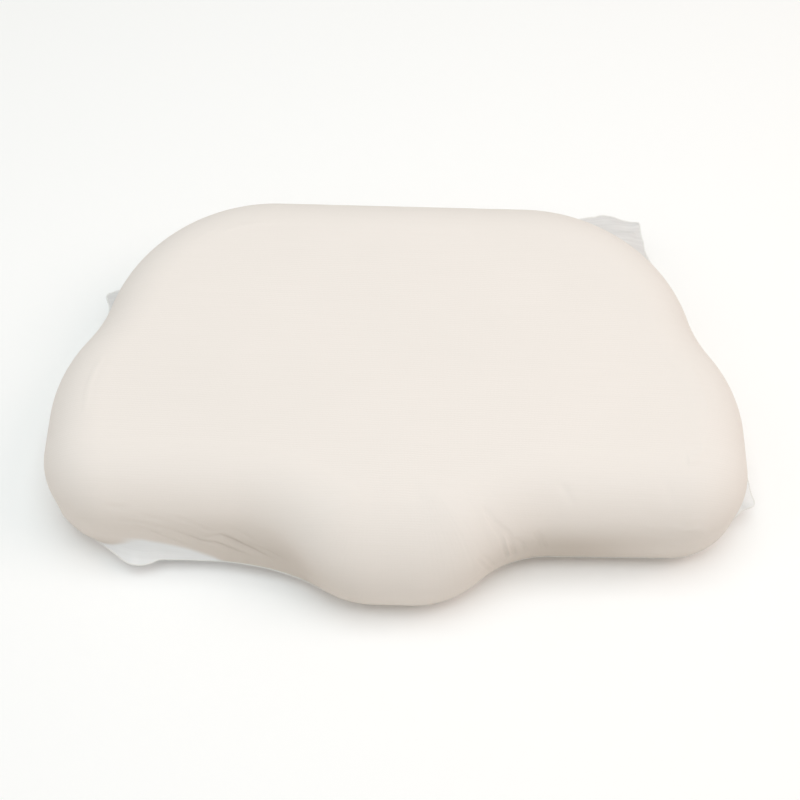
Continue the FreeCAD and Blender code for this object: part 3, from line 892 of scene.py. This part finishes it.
class Shapes:
    """Collects swept tubes, lofts and plates into one piece."""

    def __init__(self):
        self.points, self.faces, self.count = [], [], 0

    def add(self, points, faces):
        self.faces += [tuple(int(i) + self.count for i in f) for f in faces]
        self.points.append(np.asarray(points, float))
        self.count += len(points)

    def loft(self, rings):
        """Joins rings of points, one after the other, with a cap at each end."""
        rows, count = rings.shape[:2]
        faces = []
        for start in range(0, (rows - 1) * count, count):
            for j in range(count):
                n = (j + 1) % count
                faces.append((start + j, start + n, start + count + n, start + count + j))
        faces += [tuple(range(count))[::-1], tuple(range((rows - 1) * count, rows * count))]
        self.add(rings.reshape(-1, 3), faces)

    def sweep(self, path, profile, up=(0, 1, 0)):
        """Sweeps a closed profile, given as (along up, across) pairs, along a path."""
        ahead = unit(np.gradient(path, axis=0))
        across = unit(np.cross(ahead, up))
        upright = np.cross(across, ahead)
        a, b = np.array(profile, float).T[:, None, :, None]
        self.loft(path[:, None] + a * upright[:, None] + b * across[:, None])

    def tube(self, path, radius, sides=6, up=(0, 1, 0)):
        turn = np.linspace(0, 2 * np.pi, sides, endpoint=False)
        self.sweep(path, radius * np.stack([np.cos(turn), np.sin(turn)], -1), up)

    def plate(self, outer, low, high, hole=None):
        """A flat plate with a plan in x and z, between two levels of y, with a hole if given."""
        loops = [np.asarray(loop, float) for loop in ([outer] if hole is None else [outer, hole])]
        x, z = np.vstack(loops).T
        fill = tessellate_polygon([[Vector((*point, 0)) for point in loop] for loop in loops])
        count = len(x)
        points = np.vstack([np.column_stack([x, np.full(count, y), z]) for y in (low, high)])
        faces = [tuple(f) for f in fill] + [tuple(i + count for i in f[::-1]) for f in fill]
        start = 0
        for loop in loops:
            for i in range(len(loop)):
                a, b = start + i, start + (i + 1) % len(loop)
                faces.append((a, b, b + count, a + count))
            start += len(loop)
        self.add(points, faces)

    def make(self, name, look, node, body="cushion", bevel=0.0):
        piece = new_mesh(name, np.vstack(self.points), self.faces, look)
        clean = bmesh.new()
        clean.from_mesh(piece.data)
        bmesh.ops.recalc_face_normals(clean, faces=clean.faces)
        clean.to_mesh(piece.data)
        clean.free()
        if bevel:
            edges = piece.modifiers.new("Bevel", "BEVEL")
            edges.width, edges.segments, edges.limit_method = bevel, 3, "ANGLE"
            edges.harden_normals = False
            with bpy.context.temp_override(object=piece):
                bpy.ops.object.modifier_apply(modifier="Bevel")
        stands_for(piece, node, body)


def rounded_rectangle(half_a, half_b, radius, steps=4):
    corners = []
    for sa, sb, begin in ((1, 1, 0), (-1, 1, 90), (-1, -1, 180), (1, -1, 270)):
        for angle in np.radians(np.linspace(begin, begin + 90, steps)):
            corners.append((sa * (half_a - radius) + radius * math.cos(angle),
                            sb * (half_b - radius) + radius * math.sin(angle)))
    return corners


def zip_points(pairs, start=0):
    """Points on the zip's plan, in mm along x from a start and from its centre line, as metres."""
    return [((start + x) * MM, ZIP_Z + z * MM) for x, z in pairs]


def both_sides(half, start=0):
    """A closed plan from the points of its upper half."""
    return zip_points(half + [(x, -z) for x, z in half[::-1]], start)


# ---- overlocked seam ----

WELT, THREAD = 0.55 * MM, 0.17 * MM  # radii
WELT_STEP, LOOP_PITCH = 1.6 * MM, 2.4 * MM


def add_overlock():
    """The seam's narrow welt with its overlocking thread wound round it, clear of the zip."""
    line = top_band[closed, -1]
    run = lengths_along(line)
    welt = Shapes()
    even = np.linspace(0, run[-1], int(run[-1] / WELT_STEP))
    welt.tube(at_lengths(line, run, even), WELT, 7, (0, 0, 1))
    steps = np.linspace(0, run[-1], int(run[-1] / LOOP_PITCH) * 9)
    middle = at_lengths(line, run, steps)
    ahead = unit(np.gradient(middle, axis=0))
    side = unit(np.cross(ahead, (0, 0, 1)))
    rise = np.cross(side, ahead)
    turn = 2 * np.pi * steps[:, None] / LOOP_PITCH
    wound = (WELT + 0.6 * THREAD) * (np.cos(turn) * side + np.sin(turn) * rise)
    welt.tube(middle + wound, THREAD, 5, (0, 0, 1))
    welt.make("seam_overlock", thread_look, "overlock_seam")


# ---- stitches and zip ----

def path_of(x, y, z):
    """Points of a path from its coordinates, of which some are one number for all."""
    return np.stack(np.broadcast_arrays(x, y, z), -1)


def stitch_row(rows, starts, length, level, radius, y, dip=0.25 * MM):
    """Short thread stitches along x on the cloth at a level of z, sinking in at their ends."""
    for start in starts:
        x = start + np.array([0, 0.12, 0.3, 0.7, 0.88, 1]) * length
        sink = np.array([-dip, 0, 0.5 * radius, 0.5 * radius, 0, -dip])
        rows.tube(path_of(x, y + sink, level), radius)


def add_topstitch(node, level):
    """A row of thread through the cover and the zip's tape, along one side of the slot."""
    end, length, pitch = ZIP_HALF + 1.5 * MM, 2.6 * MM, 3.1 * MM
    rows = Shapes()
    stitch_row(rows, np.arange(-end, end - length, pitch), length, level, 0.22 * MM, COVER_BACK_Y)
    rows.make(node + "_thread", thread_look, node)


def add_bar_tack(node):
    """A dense zigzag of thread across the end of the zip slot."""
    low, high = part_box(node)
    turns = 22
    z = np.linspace(low.z + THREAD, high.z - THREAD, 2 * turns + 1)
    x = np.where(np.arange(len(z)) % 2, high.x - THREAD, low.x + THREAD)
    zigzag = path_of(x, low.y + 0.2 * MM, z)
    tack = Shapes()
    tack.tube(resample(zigzag, np.linspace(0, 1, 10 * turns + 1)), 0.2 * MM)
    tack.make(node + "_thread", thread_look, node)


def add_coil(node, side):
    """One nylon coil, whose turns reach past the centre line and lock with the other's."""
    low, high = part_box(node)
    pitch, wire, per_turn = 1.6 * MM, 0.29 * MM, 14
    turns = (high.x - low.x - 2 * wire) / pitch
    angle = np.linspace(0, 2 * np.pi * turns, int(turns * per_turn)) + (0 if side > 0 else np.pi)
    x = np.linspace(low.x + wire, high.x - wire, len(angle))
    y, z = (low.y + high.y) / 2, ZIP_Z + side * 1.05 * MM
    round_y, round_z = y + 0.6 * MM * np.sin(angle), z + 1.25 * MM * np.cos(angle)
    coil = Shapes()
    coil.tube(np.column_stack([x, round_y, round_z]), wire, up=(1, 0, 0))
    x = x[::per_turn]
    coil.tube(path_of(x, y, z + side * 0.3 * MM), 0.28 * MM)
    starts = np.arange(low.x + wire, high.x - 2.2 * MM, 2.4 * MM)
    stitch_row(coil, starts, 2.0 * MM, z + side * 1.0 * MM, 0.14 * MM, y + 0.85 * MM, 0.1 * MM)
    coil.make(node.replace("zip_", ""), nylon_look, node)


def add_stop(node, grooved=False):
    """A pressed metal stop, bent over the coil, with a shallow groove across it if grooved."""
    low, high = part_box(node)
    middle, half = (low + high) / 2, (high - low) / 2
    profile = np.array(rounded_rectangle(half.y, half.z, 0.45 * MM))
    scales = np.array([0.86, 1, 1, 0.86 if grooved else 1, 1, 1, 0.86])
    rings = np.zeros((len(scales), len(profile), 3))
    rings[..., 0] = mix(low.x, high.x, np.array([0, 0.12, 0.40, 0.5, 0.60, 0.88, 1]))[:, None]
    rings[..., 1:] = (middle.y, middle.z) + profile * scales[:, None, None]
    stop = Shapes()
    stop.loft(rings)
    stop.make(node.replace("zip_", ""), stop_look, node, bevel=0.08 * MM)


def add_slider():
    """The slider: two shield-shaped plates, flanges and a wedge between them, and an arched bail."""
    low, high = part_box("zip_slider")
    tab_low, tab_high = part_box("zip_pull_tab")
    centre = (low.x + high.x) / 2 / MM
    inner_top, outer_foot, outer_top = low.y + 0.9 * MM, low.y + 3.6 * MM, low.y + 4.5 * MM
    shield = both_sides([(-4.5, -2.2), (-4.2, -2.8), (-1.0, -3.0), (1.5, -3.3), (3.0, -3.55),
                         (3.9, -3.2), (4.5, -2.0), (4.2, -0.5)], centre)
    wedge = zip_points([(1.6, 0), (3.0, -0.5), (4.2, -0.5), (4.2, 0.5), (3.0, 0.5)], centre)
    flange = [(-4.2, 2.8), (-1, 3.0), (1.5, 3.3), (3, 3.55), (3, 2.95), (1.5, 2.7), (-1, 2.4), (-4.2, 2.2)]
    body = Shapes()
    body.plate(shield, low.y, inner_top)
    body.plate(shield, outer_foot, outer_top)
    body.plate(wedge, inner_top - 0.2 * MM, outer_foot + 0.2 * MM)
    for side in (1, -1):
        turned = zip_points([(x, side * z) for x, z in flange], centre)
        body.plate(turned, outer_foot - 1.25 * MM, outer_foot + 0.2 * MM)
    arch = np.radians(np.linspace(-25, 205, 15))
    radius = 1.18 * MM
    x = centre * MM + 1.35 * radius * np.cos(arch)
    y = (tab_low.y + tab_high.y) / 2 + radius * np.sin(arch)
    bail = rounded_rectangle(0.33 * MM, 0.8 * MM, 0.2 * MM, 3)
    body.sweep(path_of(x, y, ZIP_Z), bail, (0, 0, 1))
    body.make("slider_body", slider_look, "zip_slider", "slider", 0.12 * MM)


def add_pull_tab():
    """The pull tab: a tapered plate with a long eye, a raised grip and a pin through the bail."""
    low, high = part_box("zip_pull_tab")
    slider_low, slider_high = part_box("zip_slider")
    pin_x, level = slider_low.x / 2 + slider_high.x / 2, (low.y + high.y) / 2
    start, end = low.x / MM, pin_x / MM
    edge = [(end + 0.6, 1.6), (end - 1, 2.5), (end - 6, 2.3), (end - 12, 2.2), (start + 6, 2.6),
            (start + 1.6, 2.6), (start + 0.4, 1.8), (start, 0.7)]
    eye = both_sides([(-0.2, 1.1), (-2, 1.4), (-4.2, 1.2), (-5.0, 0.5)], end)
    grip = zip_points(rounded_rectangle(4.2, 1.5, 1.2), start + 6.5)
    tab = Shapes()
    tab.plate(both_sides(edge), level - 0.45 * MM, level + 0.45 * MM, eye)
    tab.plate(grip, level - 0.6 * MM, level + 0.6 * MM)
    tab.tube(path_of(pin_x, level, ZIP_Z + np.linspace(-1.8, 1.8, 5) * MM), 0.7 * MM, 14)
    tab.make("pull_tab", slider_look, "zip_pull_tab", "pull_tab", 0.1 * MM)


add_overlock()
add_topstitch("topstitch_upper", ZIP_Z + STITCH_LINE)
add_topstitch("topstitch_lower", ZIP_Z - STITCH_LINE)
add_bar_tack("bar_tack_left")
add_bar_tack("bar_tack_right")
add_coil("zip_coil_upper", 1)
add_coil("zip_coil_lower", -1)
add_stop("zip_top_stop_upper")
add_stop("zip_top_stop_lower")
add_stop("zip_bottom_stop", grooved=True)
add_slider()
add_pull_tab()

# ---- stage ----

VIEW_ELEVATION, VIEW_ROLL = math.radians(60), math.radians(1.46)
VIEW_DISTANCE, VIEW_TARGET = 1.1, Vector((0.0022, 0, 0.0619))
LENS = 53.955  # in mm, on Blender's 36 mm sensor
LIGHT_TARGET = Vector((0, 0, 0.05))


def make_floor():
    corners = [(-6, -6, 0), (6, -6, 0), (6, 6, 0), (-6, 6, 0)]
    new_mesh("floor", corners, [(0, 1, 2, 3)], Look("floor").finish((0.98, 0.98, 0.98), 0.9))


def area_light(name, place, size, power, color):
    light = bpy.data.lights.new(name, "AREA")
    light.size, light.energy, light.color = size, power, color
    lamp = linked(bpy.data.objects.new(name, light))
    lamp.location = place
    lamp.rotation_euler = (LIGHT_TARGET - Vector(place)).to_track_quat("-Z", "Y").to_euler()


def make_camera():
    data = bpy.data.cameras.new("camera")
    data.lens = LENS
    camera = linked(bpy.data.objects.new("camera", data))
    back = Vector((0, -math.cos(VIEW_ELEVATION), math.sin(VIEW_ELEVATION)))
    camera.location = VIEW_TARGET + back * VIEW_DISTANCE
    aim = (-back).to_track_quat("-Z", "Y").to_matrix()
    camera.rotation_euler = (aim @ Matrix.Rotation(VIEW_ROLL, 3, "Z")).to_euler()
    bpy.context.scene.camera = camera


make_floor()
area_light("overhead", (0, 0, 2.6), 1.8, 31.5, (0.86, 0.96, 1.0))
area_light("right", (1.7, 0, 1.95), 1.4, 14.8, (1.0, 0.81, 0.74))
area_light("left", (-1.6, -0.55, 1.95), 1.4, 5.3, (0.93, 0.92, 1.0))
world = bpy.data.worlds.new("world")
bpy.context.scene.world = world
world.use_nodes = True
background = world.node_tree.nodes["Background"].inputs
background["Color"].default_value = (1.0, 0.975, 0.905, 1)
background["Strength"].default_value = 0.465
bpy.context.scene.view_settings.view_transform = "Standard"
make_camera()
